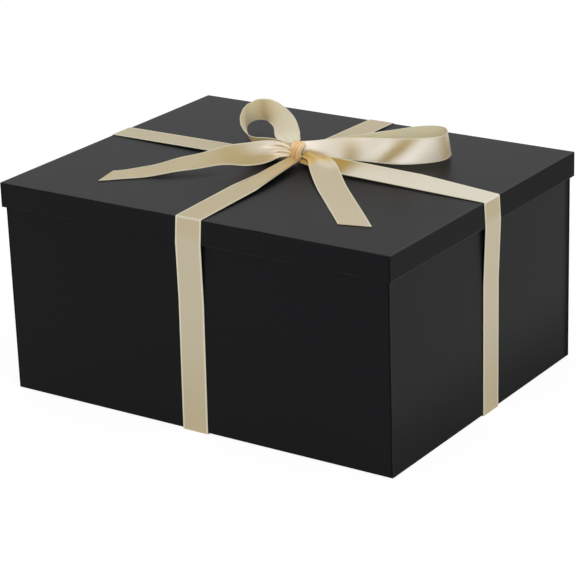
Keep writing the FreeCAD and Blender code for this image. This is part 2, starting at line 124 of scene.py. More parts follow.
class Finish(Nodes):
    """One surface finish: a material, its shader and the nodes that vary it."""

    def __init__(self, name, **constants):
        self.material = bpy.data.materials.new(name)
        self.material.use_nodes = True
        super().__init__(self.material.node_tree)
        self.shader = self.make("ShaderNodeBsdfPrincipled")
        self.make("ShaderNodeOutputMaterial", None, {"Surface": Shade(self, self.shader.outputs[0])})
        self.set(**constants)

    def set(self, **values):
        """Values or shades for the shader's own sockets, with _ for the spaces in their names."""
        for name, value in values.items():
            self.feed(self.shader.inputs[name.replace("_", " ")], value)

    def place(self):
        """The three coordinates of a point in the part's own frame, in metres."""
        spot = self.add("ShaderNodeTexCoord", output="Object")
        return [self.add("ShaderNodeSeparateXYZ", None, {0: spot}, axis) for axis in "XYZ"]

    def noise(self, scale, detail, at=None):
        """Cloudy variation, over the part's own frame unless a place is given."""
        spot = at or self.add("ShaderNodeTexCoord", output="Object")
        return self.add("ShaderNodeTexNoise", None, {"Vector": spot, "Scale": scale, "Detail": detail})

    def bump(self, height, distance, strength=1.0):
        """A normal that leans with the height, a share of the distance in metres."""
        sockets = {"Height": height, "Distance": distance, "Strength": strength}
        return self.add("ShaderNodeBump", None, sockets)


def dress(finish, *names):
    """Gives CAD nodes a finish."""
    for name in names:
        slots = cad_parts[name].data.materials
        slots.clear()
        slots.append(finish.material)


BOARD_DARK = (0.22, 0.2, 0.175, 1.0)
BOARD_PALE = (0.36, 0.33, 0.29, 1.0)

greyboard = Finish("greyboard", Specular_IOR_Level=0.3)
pulp = greyboard.noise(scale=900.0, detail=6.0)
fleck = greyboard.noise(scale=140.0, detail=2.0).ramp(0.35, 0.7)
greyboard.set(
    Base_Color=greyboard.mix(0.6 * pulp + 0.4 * fleck, BOARD_DARK, BOARD_PALE),
    Roughness=0.8 + 0.15 * fleck,
    Normal=greyboard.bump(pulp, distance=0.00008),
)
dress(greyboard, "base_floor_board", "base_front_wall", "base_back_wall", "base_left_wall", "base_right_wall")
dress(greyboard, "lid_top_board", "lid_front_rim", "lid_back_rim", "lid_left_rim", "lid_right_rim")


# Corner stays: strips of gummed brown paper, wetted and folded round each corner of the boards.
# They hold the butted walls together until the wrap goes on, and end up under it.

KRAFT_DARK = (0.3, 0.19, 0.1, 1.0)
KRAFT_PALE = (0.42, 0.28, 0.16, 1.0)

kraft = Finish("gummed_kraft", Specular_IOR_Level=0.3)
strand_marks = kraft.noise(scale=500.0, detail=5.0)
kraft.set(
    Base_Color=kraft.mix(strand_marks, KRAFT_DARK, KRAFT_PALE),
    Roughness=0.6 + 0.25 * strand_marks,
    Normal=kraft.bump(strand_marks, distance=0.00005),
)
dress(kraft, "base_corner_stays", "lid_corner_stays")


# Wraps of base and lid: black printing paper under a soft-touch film, glued over the boards.
# The film is nearly without gloss, and the folds have worn a little paler. Beside the upright corners
# its coat is thinner, which darkens a line down each. Paler lines along some edges are painted highlights,
# and less coat on the end faces is painted shade.
# On the short ends of the base the paper laps over itself beside each corner.

BLACK = (0.0045, 0.0049, 0.0058, 1.0)
# The paler black serves both for the worn folds and for painted highlights.
BLACK_RUBBED_AND_LIT = (0.035, 0.035, 0.036, 1.0)
RUBBED = 0.4
RUB_RUN = (0.0009, 0.0001)
THIN_COAT_RUN = (0.0021, 0.0008)
ON_FACE = (0.0003, 0.0001)
BACK_RUN = (-0.06, 0.12)


class SoftTouch(Finish):
    """A wrap's finish, with the places on the wrap where its look changes."""

    def __init__(self, name, node):
        super().__init__(name, Specular_IOR_Level=0.0, Coat_IOR=1.185, Coat_Roughness=0.4)
        low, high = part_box(node)
        x, y, z = self.place()
        self.from_end = high.x - abs(x)
        self.from_side = high.y - abs(y)
        self.from_foot = z - low.z
        self.to_back = y.ramp(*BACK_RUN)
        from_level = self.from_foot.least(high.z - z)
        nearer = self.from_end.least(self.from_side)
        further = self.from_end.most(self.from_side)
        from_fold = nearer.most(further.least(from_level))
        self.rub = from_fold.ramp(*RUB_RUN) * self.noise(scale=55.0, detail=4.0).ramp(0.3, 0.65)
        self.thin_coat_at_corners = self.from_side.ramp(*ON_FACE) * self.from_end.ramp(*THIN_COAT_RUN)
        self.grain = self.noise(scale=2600.0, detail=4.0)
        self.cloud = self.noise(scale=9.0, detail=3.0)
        self.film = 0.94 + 0.08 * self.cloud - 0.7 * self.thin_coat_at_corners


ON_RIM_END = (0.0005, 0.0001)
ON_LID_TOP = (0.0184, 0.0188)
RIM_FOOT_HIGHLIGHT_RUN = (0.0009, 0.0003)
TOP_EDGE_HIGHLIGHT_RUN = (0.0018, 0.0006)

lid_paper = SoftTouch("lid_soft_touch", "lid_wrap")
rim_end = lid_paper.from_end.ramp(*ON_RIM_END)
on_top = lid_paper.from_foot.ramp(*ON_LID_TOP)
# Painted highlights: a paler line along the foot of the rim's end faces, and one along the top's end edges.
rim_foot_highlight = rim_end * lid_paper.from_foot.ramp(*RIM_FOOT_HIGHLIGHT_RUN)
top_edge_highlight = on_top * lid_paper.from_end.ramp(*TOP_EDGE_HIGHLIGHT_RUN)
rubbed_and_lit = RUBBED * lid_paper.rub + 0.9 * rim_foot_highlight + 0.7 * top_edge_highlight
lid_paper.set(
    Base_Color=lid_paper.mix(rubbed_and_lit.least(1.0), BLACK, BLACK_RUBBED_AND_LIT),
    Roughness=0.75 + 0.1 * lid_paper.cloud,
    # Painted shade: less coat on the rim's end faces, more so towards the back.
    Coat_Weight=lid_paper.film - rim_end * (0.3 + 0.16 * lid_paper.to_back) - 0.08 * on_top,
    Normal=lid_paper.bump(lid_paper.grain, distance=0.000012, strength=0.5),
)
dress(lid_paper, "lid_wrap")

LAP_AT_FOOT = 0.0082
LAP_TAPER = 0.034
LAP_RUN = (-0.0002, 0.0002)
LAP_EDGE_RUN = (0.0006, 0.0001)
CORNER_HIGHLIGHT_RUN = (0.0016, 0.0006)
FOOT_RUN = (0.07, 0.0)
BACK_CORNER_SHADE_RUN = (0.012, 0.0)

base_paper = SoftTouch("base_soft_touch", "base_wrap")
on_end = base_paper.from_end.ramp(*ON_FACE)
in_lap = LAP_AT_FOOT - LAP_TAPER * base_paper.from_foot - base_paper.from_side
lap = on_end * in_lap.ramp(*LAP_RUN)
lap_edge = on_end * abs(in_lap).ramp(*LAP_EDGE_RUN)
# A painted highlight: a paler line beside each upright corner of the end faces.
corner_highlight = on_end * base_paper.from_side.ramp(*CORNER_HIGHLIGHT_RUN)
# Painted shade on the end faces: less coat towards the foot and in the back corners.
foot_shade = on_end * base_paper.from_foot.ramp(*FOOT_RUN)
back_corner_shade = on_end * base_paper.to_back * base_paper.from_side.ramp(*BACK_CORNER_SHADE_RUN)
rubbed_and_lit = RUBBED * base_paper.rub + 0.16 * lap_edge + 0.3 * corner_highlight
base_paper.set(
    Base_Color=base_paper.mix(rubbed_and_lit.least(1.0), BLACK, BLACK_RUBBED_AND_LIT),
    Roughness=0.75 + 0.1 * base_paper.cloud,
    Coat_Weight=(base_paper.film - 0.4 * foot_shade) * (1.0 - 0.9 * back_corner_shade),
    Normal=base_paper.bump(0.06 * base_paper.grain + lap, distance=0.00015, strength=0.6),
)
dress(base_paper, "base_wrap")


# Linings and the sheet under the base: plain uncoated black paper, pasted down flat.
# They cover the turned-in edges of the wraps, inside the base, under the lid and below the floor.

LINING_DARK = (0.011, 0.011, 0.012, 1.0)
LINING_PALE = (0.022, 0.022, 0.023, 1.0)

lining_paper = Finish("black_lining", Specular_IOR_Level=0.25)
tooth = lining_paper.noise(scale=1800.0, detail=5.0)
mottle = lining_paper.noise(scale=60.0, detail=4.0)
lining_paper.set(
    Base_Color=lining_paper.mix(0.5 * tooth + 0.5 * mottle, LINING_DARK, LINING_PALE),
    Roughness=0.82 + 0.12 * mottle,
    Normal=lining_paper.bump(tooth, distance=0.00003),
)
dress(lining_paper, "base_bottom_sheet", "base_floor_lining", "base_wall_lining", "lid_lining")


# Ribbon round the base: cream satin, 22 mm wide with woven edges, pulled flat round the closed box.
# One stretch passes under the floor each way, and four run up the walls to the foot of the lid's rim.
# Nothing but its own pull holds it to the paper.

RIBBON_WIDTH = 0.022
RIBBON_THICKNESS = 0.0004
ACROSS_STEPS = 32
SHARP_EDGE = math.radians(50)

SATIN_LABELS = ("across", "along", "fold", "gloss", "tone")
# Deep gold is painted shade with some of the ribbon's own warmth; the fold glow is painted light.
DEEP_GOLD_AND_SHADE = (0.50, 0.34, 0.09, 1.0)
PAINTED_FOLD_GLOW = (0.90, 0.52, 0.17, 1.0)
WOVEN_EDGE = (0.84, 0.78, 0.59, 1.0)
SELVEDGE_RUN = (0.87, 0.91)
WARP_ACROSS, WARP_ALONG = 48.0, 30.0
WEFT_ACROSS, WEFT_ALONG = 5.0, 2400.0


def satin_finish(name, creams, edge_share, light_through):
    """Cream satin. The mesh says how glossy each place of it is, and its painted light, shade and fold glow.
    """
    satin = Finish(
        name,
        Specular_IOR_Level=0.12,
        Coat_Roughness=0.34,
        Coat_IOR=4.2,
        Subsurface_Weight=light_through,
        Subsurface_Radius=(1.0, 1.0, 1.0),
        Subsurface_Scale=0.0012,
    )
    across, along, fold, gloss, tone = [
        satin.add("ShaderNodeAttribute", {"attribute_name": label}, output="Fac") for label in SATIN_LABELS
    ]
    warp_at = satin.add("ShaderNodeCombineXYZ", None, {0: WARP_ACROSS * across, 1: WARP_ALONG * along})
    weft_at = satin.add("ShaderNodeCombineXYZ", None, {0: WEFT_ACROSS * across, 1: WEFT_ALONG * along})
    warp = satin.noise(scale=1.0, detail=3.0, at=warp_at)
    weft = satin.noise(scale=1.0, detail=2.0, at=weft_at)
    selvedge = abs(across).ramp(*SELVEDGE_RUN)
    dull, bright, pale = creams
    # Below 0 the tone mixes in the pale cream, painted light; above 0 deep gold, painted shade; fold mixes in
    # painted glow.
    with_painted_light = satin.mix(-1.0 * tone, satin.mix(warp, dull, bright), pale)
    edged = satin.mix(edge_share * selvedge, satin.mix(tone, with_painted_light, DEEP_GOLD_AND_SHADE), WOVEN_EDGE)
    satin.set(
        Base_Color=satin.mix(fold, edged, PAINTED_FOLD_GLOW),
        Roughness=0.55 + 0.15 * selvedge + 0.06 * warp,
        Coat_Weight=gloss * (1.0 - 0.6 * selvedge),
        Normal=satin.bump(0.5 * warp + 0.3 * weft + 0.5 * selvedge, distance=0.00006, strength=0.6),
    )
    return satin


# Dull and bright cream for the weave, and the pale cream that painted light mixes in.
BACKED_CREAMS = (0.545, 0.465, 0.295, 1.0), (0.60, 0.52, 0.345, 1.0), (0.88, 0.725, 0.425, 1.0)
backed_satin = satin_finish("backed_satin", BACKED_CREAMS, edge_share=0.9, light_through=0.0)


def flat(share):
    """Nothing, at any place across a row."""
    return 0.0


class Row:
    """One line across the ribbon: its middle, the ways across it and off its upper face, and its width.

    For a place from -1 at one edge to 1 at the other, lift gives the height off the line, fold the share of
    painted glow in a fold, deep the painted shade added to the tone, painted light where below 0, and dull
    the share of gloss that is lost on the upper face. Gloss, and tone from -1 for painted light, pale, to 1
    for painted shade, deep gold, with some of the ribbon's own warmth, are pairs for the upper and the under
    face.
    """

    def __init__(self, middle, across, off, width=RIBBON_WIDTH, lift=flat, fold=flat, deep=flat, dull=flat,
                 gloss=(0.2, 0.9), tone=(0.0, 0.0)):
        self.middle = middle
        self.across = across
        self.off = off
        self.width = width
        self.lift = lift
        self.fold = fold
        self.deep = deep
        self.dull = dull
        self.gloss = gloss
        self.tone = tone


def strip_faces(row_count):
    """The faces of a closed strip: upper and under side, both edges and both ends."""
    count = ACROSS_STEPS + 1
    ahead = 2 * count
    faces = []
    for place in range(row_count - 1):
        top = ahead * place
        below = top + count
        for step in range(ACROSS_STEPS):
            faces.append((top + step, top + step + 1, top + step + 1 + ahead, top + step + ahead))
            faces.append((below + step, below + step + ahead, below + step + 1 + ahead, below + step + 1))
        for step in (0, ACROSS_STEPS):
            faces.append((top + step, top + step + ahead, below + step + ahead, below + step))
    for first in (0, ahead * (row_count - 1)):
        for step in range(ACROSS_STEPS):
            faces.append((first + step, first + step + 1, first + step + 1 + count, first + step + count))
    return faces


def ribbon(name, rows, body, node, finish=backed_satin):
    """A closed strip of ribbon through the rows, in the place of a CAD node."""
    shares = [2 * step / ACROSS_STEPS - 1 for step in range(ACROSS_STEPS + 1)]
    spots = []
    told = {label: [] for label in SATIN_LABELS}
    walked = 0.0
    for place, row in enumerate(rows):
        if place:
            walked += (row.middle - rows[place - 1].middle).length
        for face, face_gloss, face_tone in zip((0.5, -0.5), row.gloss, row.tone):
            for share in shares:
                rise = row.lift(share) + face * RIBBON_THICKNESS
                spots.append(row.middle + row.across * (share * row.width / 2) + row.off * rise)
                gloss, tone = face_gloss, face_tone
                if face > 0:
                    gloss = face_gloss * (1 - row.dull(share))
                    tone = face_tone + row.deep(share)
                for label, value in zip(SATIN_LABELS, (share, walked, row.fold(share), gloss, tone)):
                    told[label].append(value)
    mesh = bpy.data.meshes.new(name)
    mesh.from_pydata(spots, [], strip_faces(len(rows)))
    shaped = bmesh.new()
    shaped.from_mesh(mesh)
    bmesh.ops.recalc_face_normals(shaped, faces=shaped.faces)
    shaped.to_mesh(mesh)
    shaped.free()
    for label, values in told.items():
        mesh.attributes.new(label, "FLOAT", "POINT").data.foreach_set("value", values)
    mesh.shade_smooth()
    mesh.set_sharp_from_angle(angle=SHARP_EDGE)
    mesh.materials.append(finish.material)
    piece = bpy.data.objects.new(name, mesh)
    bpy.context.scene.collection.objects.link(piece)
    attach(piece, body)
    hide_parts(node)


def run_rows(points, across, spacing):
    """Rows along a run of points, with one direction across them all."""
    spots = [points[0]]
    for start, end in zip(points, points[1:]):
        steps = max(1, math.ceil((end - start).length / spacing))
        for step in range(1, steps + 1):
            spots.append(start.lerp(end, step / steps))
    rows = []
    for place, spot in enumerate(spots):
        travel = spots[min(place + 1, len(spots) - 1)] - spots[max(place - 1, 0)]
        rows.append(Row(spot, across, travel.cross(across).normalized()))
    return rows


RIGHT = Vector((1, 0, 0))
BACK = Vector((0, 1, 0))
UP = Vector((0, 0, 1))
HALF_THICK = RIBBON_THICKNESS / 2
AIR_GAP = 0.00005
STAND_OFF = AIR_GAP + HALF_THICK
UNDER_SPACING = 0.006
HUMP_FOOT = 0.0194
HUMP_TOP = 0.0114

low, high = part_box("ribbon_under_lengthwise")
crossing = (low.y + high.y) / 2
points = [Vector((low.x, crossing, HALF_THICK)), Vector((high.x, crossing, HALF_THICK))]
ribbon("under_lengthwise", run_rows(points, BACK, UNDER_SPACING), "base", "ribbon_under_lengthwise")

low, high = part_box("ribbon_under_crosswise")
middle = (low.x + high.x) / 2
points = [
    Vector((middle, low.y, HALF_THICK)),
    Vector((middle, crossing - HUMP_FOOT, HALF_THICK)),
    Vector((middle, crossing - HUMP_TOP, 3 * HALF_THICK)),
    Vector((middle, crossing + HUMP_TOP, 3 * HALF_THICK)),
    Vector((middle, crossing + HUMP_FOOT, HALF_THICK)),
    Vector((middle, high.y, HALF_THICK)),
]
ribbon("under_crosswise", run_rows(points, RIGHT, UNDER_SPACING), "base", "ribbon_under_crosswise")

BASE_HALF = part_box("base_wrap")[1]
LID_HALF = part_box("lid_wrap")[1]
RIM_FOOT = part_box("lid_wrap")[0].z
LID_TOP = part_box("lid_wrap")[1].z


class Side:
    """One side of the box, and the ribbon's place across it at its foot, at the rim and at the lid's edge.

    The tones are the ribbon's at the foot of the wall and further up: painted shade deepens the foot, and
    painted light pales the right wall higher up.
    """

    def __init__(self, outward, foot, rim, edge, tones):
        lengthwise = outward.y == 0
        self.outward = outward
        self.across = BACK if lengthwise else RIGHT
        self.base_half = BASE_HALF.x if lengthwise else BASE_HALF.y
        self.lid_half = LID_HALF.x if lengthwise else LID_HALF.y
        self.foot = foot
        self.rim = rim
        self.edge = edge
        self.tones = tones

    def spot(self, across, out, up):
        """A point at these distances across the side, out from the box's middle and up from the table."""
        return self.across * across + self.outward * out + UP * up

    def rows(self, points, spacing):
        """Rows up or along this side, with their upper faces away from the box."""
        return run_rows(points, self.outward.cross(UP), spacing)


def smooth_step(share):
    """A soft step from 0 to 1 as the share does the same."""
    share = min(max(share, 0.0), 1.0)
    return share * share * (3 - 2 * share)


SIDES = {
    "front": Side(-BACK, foot=-0.001, rim=0.0019, edge=0.0035, tones=(0.3, 0.03)),
    "back": Side(BACK, foot=-0.001, rim=-0.001, edge=-0.001, tones=(0.3, 0.03)),
    "left": Side(-RIGHT, foot=0.007, rim=0.0141, edge=0.015, tones=(0.3, 0.03)),
    "right": Side(RIGHT, foot=0.007, rim=0.007, edge=0.0048, tones=(0.3, -0.12)),
}
WALL_SPACING = 0.003
WALL_GLOSS = 0.3
WALL_BACK_GLOSS = 0.9
TONE_RUN = 0.6
LEAVES_WALL = RIM_FOOT - 0.045
LEAVING_SHARE = 0.2
PARTING = 0.00003

for name, side in SIDES.items():
    leaves_at = side.foot + (side.rim - side.foot) * LEAVES_WALL / RIM_FOOT
    on_wall = side.base_half + STAND_OFF
    points = [
        side.spot(side.foot, on_wall, RIBBON_THICKNESS),
        side.spot(leaves_at, on_wall + LEAVING_SHARE * (side.lid_half - side.base_half), LEAVES_WALL),
        side.spot(side.rim, side.lid_half + STAND_OFF, RIM_FOOT - PARTING),
    ]
    rows = side.rows(points, WALL_SPACING)
    foot_tone, wall_tone = side.tones
    for row in rows:
        # The tone eases from painted shade at the foot to the tone higher up the wall.
        up_wall = smooth_step(row.middle.z / (TONE_RUN * RIM_FOOT))
        row.gloss = (WALL_GLOSS, WALL_BACK_GLOSS)
        row.tone = (foot_tone + (wall_tone - foot_tone) * up_wall, 0.0)
    ribbon(f"{name}_wall_ribbon", rows, "base", f"ribbon_{name}_wall")


# Ribbon over the lid: the same satin goes up the rim, folds over the lid's edge and climbs taut to the knot.
# In its last stretch it is drawn in to about half its width, which throws it into lengthwise pleats.

KNOT_AT = Vector((0.001, 0.010, LID_TOP))
PLEAT_SLACK = 0.75
PLEAT_RAISE = 0.7
CROWDING = 1.1
FOLD_LEAST = 0.12
FOLD_VALLEY = 0.6


def pleats(share_of_width, waves, phase):
    """The pleats of ribbon that is drawn in to a share of its width, and each place's painted glow, most in a
    fold.
    """
    spare = max(1 / share_of_width - 1, 0.0)
    pitch = math.pi * waves
    depth = PLEAT_SLACK * math.sqrt(4 * spare) * share_of_width * RIBBON_WIDTH / (2 * pitch)
    crowding = min(1.0, CROWDING * spare)

    def lift(share):
        return depth * (PLEAT_RAISE + math.sin(pitch * share + phase))

    def fold(share):
        valley = 0.5 - 0.5 * math.sin(pitch * share + phase)
        return crowding * (FOLD_LEAST + FOLD_VALLEY * valley)

    return lift, fold


# Each stretch ends a gap short of the knot's middle and a lift above the lid. It is drawn in over the gather,
# banks by some degrees and may have a lengthwise groove. Its tone is painted light and shade that differ
# from side to side, with painted golden shade in the groove and where it lies under the bow.
TOP_STRETCHES = {
    "front": {"gap": 0.0026, "lift": 0.0034, "waves": 1.2, "phase": 0.6, "gather": 0.07, "bow_shade": 0.15,
              "bank": 0, "groove": 0.0009, "gloss": 0.25, "tone": 0.26},
    "back": {"gap": 0.0026, "lift": 0.0034, "waves": 1.4, "phase": 2.0, "gather": 0.034, "bow_shade": 0.0,
             "bank": 0, "groove": 0.0, "gloss": 0.15, "tone": -0.15},
    "left": {"gap": 0.0045, "lift": 0.0026, "waves": 1.8, "phase": 1.0, "gather": 0.034, "bow_shade": 0.0,
             "bank": 0, "groove": 0.0, "gloss": 0.2, "tone": -0.1},
    "right": {"gap": 0.0045, "lift": 0.0026, "waves": 3.0, "phase": 2.6, "gather": 0.030, "bow_shade": 1.3,
              "bank": 9, "groove": 0.0, "gloss": 1.0, "tone": -0.3},
}
TOP_SPACING = 0.0025
FOLD_BEND = 0.0008
FOLD_INSET = 0.00035
FOLD_STEPS = 8
BESIDE_FOLD = 0.0005
FOLD_GLOSS = 0.6
FOLD_HIGHLIGHT = 0.25
RIM_SHADE = 0.34
UNDER_GLOSS = 0.2
UNDER_FACE_LIGHT = -0.6
GATHERED = 0.56
GATHER_POWER = 1.3
BANK_RUN = 0.065
BOW_SHADE_FROM = 0.052
UNLIT_FROM = 0.055
BOW_EDGE = 0.018
GROOVE_RUN = 0.1
GROOVE_AT = 0.1
GROOVE_SPREAD = 0.16
GROOVE_SHADE = 450
PLEAT_GLOW = 0.5


def shape_top_row(row, side, stretch, end):
    """Draws a row in towards the knot, and sets its bank, pleats, groove, gloss, and tone of painted light
    and shade.
    """
    out = row.middle.dot(side.outward)
    on_top = row.middle.z > LID_TOP
    # The fold over the lid's edge gets more gloss and a paler tone: a painted highlight.
    if row.middle.z > LID_TOP - FOLD_BEND and out > side.lid_half - FOLD_BEND:
        gloss = FOLD_GLOSS + (1 - FOLD_GLOSS) * stretch["gloss"]
        tone = stretch["tone"] - FOLD_HIGHLIGHT
    elif on_top:
        gloss, tone = stretch["gloss"], stretch["tone"]
    else:
        # Up the rim the tone deepens to painted shade just under the fold.
        wall_tone = side.tones[1]
        up_rim = smooth_step(2 * (row.middle.z - RIM_FOOT) / (LID_TOP - RIM_FOOT))
        gloss, tone = WALL_GLOSS, wall_tone + (RIM_SHADE - wall_tone) * up_rim
    row.gloss = (gloss, UNDER_GLOSS)
    # The under face is painted paler: painted light.
    row.tone = (tone, UNDER_FACE_LIGHT)
    near = max(0.0, 1 - (end - row.middle).length / stretch["gather"])
    share = 1 - GATHERED * near ** GATHER_POWER
    row.width = RIBBON_WIDTH * share
    under_bow_shade = unlit = groove = 0.0
    if on_top:
        bank = math.radians(stretch["bank"]) * min(1.0, (side.lid_half - out) / BANK_RUN)
        row.middle = row.middle + UP * (row.width / 2 * math.sin(bank))
        row.across = row.across * math.cos(bank) - UP * math.sin(bank)
        to_knot = (end - row.middle).length
        # Painted golden shade where the bow shades the stretch, and less gloss there as well.
        under_bow_shade = stretch["bow_shade"] * smooth_step((BOW_SHADE_FROM - to_knot) / BOW_EDGE)
        unlit = min(1.0, stretch["bow_shade"]) * smooth_step((UNLIT_FROM - to_knot) / BOW_EDGE)
        groove = stretch["groove"] * max(0.0, 1 - to_knot / GROOVE_RUN)
    pleat, crease = pleats(share, stretch["waves"], stretch["phase"])

    def dip(place):
        return groove * math.exp(-(((place - GROOVE_AT) / GROOVE_SPREAD) ** 2))

    row.lift = lambda place: pleat(place) - dip(place)
    # The pleats carry painted glow, most in their valleys, and the groove carries painted shade.
    row.fold = lambda place: PLEAT_GLOW * crease(place)
    row.deep = lambda place: under_bow_shade + GROOVE_SHADE * dip(place)
    row.dull = lambda place: unlit


for name, stretch in TOP_STRETCHES.items():
    side = SIDES[name]
    points = []
    for step in range(FOLD_STEPS + 1):
        angle = math.radians(90 * step / FOLD_STEPS)
        out = side.lid_half - FOLD_INSET + FOLD_BEND * math.cos(angle)
        up = LID_TOP - FOLD_INSET + FOLD_BEND * math.sin(angle)
        points.append(side.spot(side.edge, out, up))
    start = side.spot(side.rim, side.lid_half + STAND_OFF, RIM_FOOT)
    end = KNOT_AT + side.outward * stretch["gap"] + UP * (STAND_OFF + stretch["lift"])
    before_fold = points[0] + (start - points[0]).normalized() * BESIDE_FOLD
    after_fold = points[-1] + (end - points[-1]).normalized() * BESIDE_FOLD
    rows = side.rows([start, before_fold, *points, after_fold, end], TOP_SPACING)
    for row in rows:
        shape_top_row(row, side, stretch, end)
    ribbon(f"{name}_top_ribbon", rows, "lid", f"ribbon_{name}_top")


# Bow: two loops that lean to the back corners and two tails that run to the front corners, cut on the slant.
# They are the free ends of the same satin, left loose, so light passes through them. The glow in their
# folds, their paler and deeper bands and their lighter creams are painted light and shade.
# The knot gathers each one at its root and holds it up off the lid.

# A row of stations shapes each strand: out and aside as shares of the reach, the height of the ribbon's
# middle as a share of its width, the bank, 0 flat and 90 on edge, and the share of the width left there.
LEFT_LOOP = (
    (0.045, 0.000, 0.64, 14, 0.42),
    (0.155, 0.030, 0.74, 3, 0.84),
    (0.35, -0.004, 0.75, 10, 0.86),
    (0.525, -0.033, 0.765, 20, 0.82),
    (0.70, -0.037, 0.775, 36, 0.78),
    (0.85, -0.020, 0.785, 66, 0.79),
    (0.955, 0.020, 0.785, 98, 0.83),
    (0.995, 0.085, 0.755, 111, 0.88),
    (0.955, 0.150, 0.705, 104, 0.90),
    (0.86, 0.205, 0.65, 90, 0.92),
    (0.72, 0.247, 0.60, 76, 0.94),
    (0.577, 0.268, 0.50, 62, 1.0),
    (0.464, 0.255, 0.38, 50, 1.0),
    (0.37, 0.208, 0.33, 40, 0.95),
    (0.185, 0.113, 0.42, 52, 0.75),
    (0.045, 0.020, 0.40, 62, 0.43),
)
RIGHT_LOOP = (
    (0.015, -0.009, 0.60, -74, 0.38),
    (0.122, -0.022, 0.565, -73, 0.52),
    (0.27, -0.052, 0.575, -73, 0.73),
    (0.437, -0.092, 0.575, -69, 0.81),
    (0.576, -0.127, 0.555, -70, 0.87),
    (0.70, -0.150, 0.55, -78, 0.89),
    (0.83, -0.146, 0.555, -80, 0.87),
    (0.945, -0.116, 0.565, -82, 0.85),
    (0.99, -0.030, 0.565, -82, 0.84),
    (1.0, 0.055, 0.555, -81, 0.85),
    (0.97, 0.128, 0.53, -85, 0.90),
    (0.882, 0.157, 0.50, -88, 0.95),
    (0.77, 0.131, 0.485, -90, 1.0),
    (0.63, 0.079, 0.47, -90, 1.0),
    (0.454, 0.035, 0.475, -90, 0.92),
    (0.26, 0.017, 0.47, -90, 0.74),
    (0.02, 0.017, 0.50, -90, 0.42),
)
LEFT_TAIL = (
    (0.035, 0.012, 0.42, 58, 0.34),
    (0.09, -0.014, 0.515, 50, 0.62),
    (0.173, -0.026, 0.425, 41, 0.95),
    (0.277, -0.024, 0.39, 34, 0.985),
    (0.40, -0.012, 0.395, 23, 0.94),
    (0.54, -0.003, 0.30, 12, 0.95),
    (0.68, 0.002, 0.155, 7, 0.98),
    (0.817, 0.000, 0.052, 3, 1.0),
    (0.928, 0.000, 0.012, 0, 1.0),
    (1.0, 0.000, 0.010, 0, 1.0),
)
RIGHT_TAIL = (
    (0.013, 0.030, 0.30, 2, 0.36),
    (0.06, 0.072, 0.30, -2, 0.60),
    (0.13, 0.092, 0.24, -4, 0.90),
    (0.275, 0.088, 0.15, 0, 1.0),
    (0.43, 0.082, 0.06, 0, 1.0),
    (0.65, 0.082, 0.012, 0, 1.0),
    (0.85, 0.080, 0.010, 0, 1.0),
    (1.0, 0.077, 0.010, 0, 1.0),
)
TAIL_CUT = 0.012
STATION_STEPS = 10
STRAND_SPACING = 0.0016
EASINGS = 14


def between(before, start, end, after, share):
    """A value on the smooth curve from start to end."""
    bend = 2 * before - 5 * start + 4 * end - after
    twist = 3 * start - before - 3 * end + after
    return start + 0.5 * share * (end - before + share * (bend + share * twist))


def smooth_lines(stations, reach):
    """Lines through the stations at an even spacing along the strand, eased so that no station shows."""
    last = len(stations) - 1
    lines = []
    for place in range(last):
        around = [stations[min(max(place + step, 0), last)] for step in (-1, 0, 1, 2)]
        for step in range(STATION_STEPS):
            lines.append([between(*values, step / STATION_STEPS) for values in zip(*around)])
    lines.append(list(stations[last]))
    walked = [0.0]
    for start, end in zip(lines, lines[1:]):
        rise = (end[2] - start[2]) * RIBBON_WIDTH
        walked.append(walked[-1] + math.hypot((end[0] - start[0]) * reach, (end[1] - start[1]) * reach, rise))
    count = math.ceil(walked[-1] / STRAND_SPACING)
    even = []
    place = 0
    for step in range(count + 1):
        target = walked[-1] * step / count
        while place < len(lines) - 2 and walked[place + 1] < target:
            place += 1
        share = (target - walked[place]) / (walked[place + 1] - walked[place])
        even.append([start + share * (end - start) for start, end in zip(lines[place], lines[place + 1])])
    for _ in range(EASINGS):
        eased = [[(a + 2 * b + c) / 4 for a, b, c in zip(*three)] for three in zip(even, even[1:], even[2:])]
        even = [even[0]] + eased + [even[-1]]
    return even


# The free strands' creams are paler and warmer than the backed satin's: painted light on the same ribbon.
LIT_OPEN_CREAMS = (0.585, 0.485, 0.30, 1.0), (0.64, 0.54, 0.35, 1.0), (0.96, 0.795, 0.54, 1.0)
open_satin = satin_finish("open_satin", LIT_OPEN_CREAMS, edge_share=0.6, light_through=1.0)

NEAR_KNOT = 0.040
PLEAT_GAIN = 1.6
GLOW_FROM = 0.3
GLOW_RUN = 0.4
PAINTED_LIGHT_AT_KNOT = 0.5
DULL_PER_TONE = 8
RIPPLE_RISE = 0.02
RIPPLE_FALL = 0.05
CUT_RUN = 0.03
NO_RIPPLE = {"depth": 0.0, "wave": 1.0, "slant": 0.0, "phase": 0.0, "first": 0.0, "last": 1.0}


def painted_band(at, run, tone, slant=0.0, middle=0.0, spread=3.0):
    """A soft band across a strand, at a distance along it, of painted shade, deeper in tone, or of painted
    light, paler, below 0.

    Its middle is a place across the ribbon, and the slant shifts it along the strand from there to an edge.
    """

    def deep(walked, share):
        along = (walked - at - slant * share) / run
        return tone * math.exp(-along * along - ((share - middle) / spread) ** 2)

    return deep


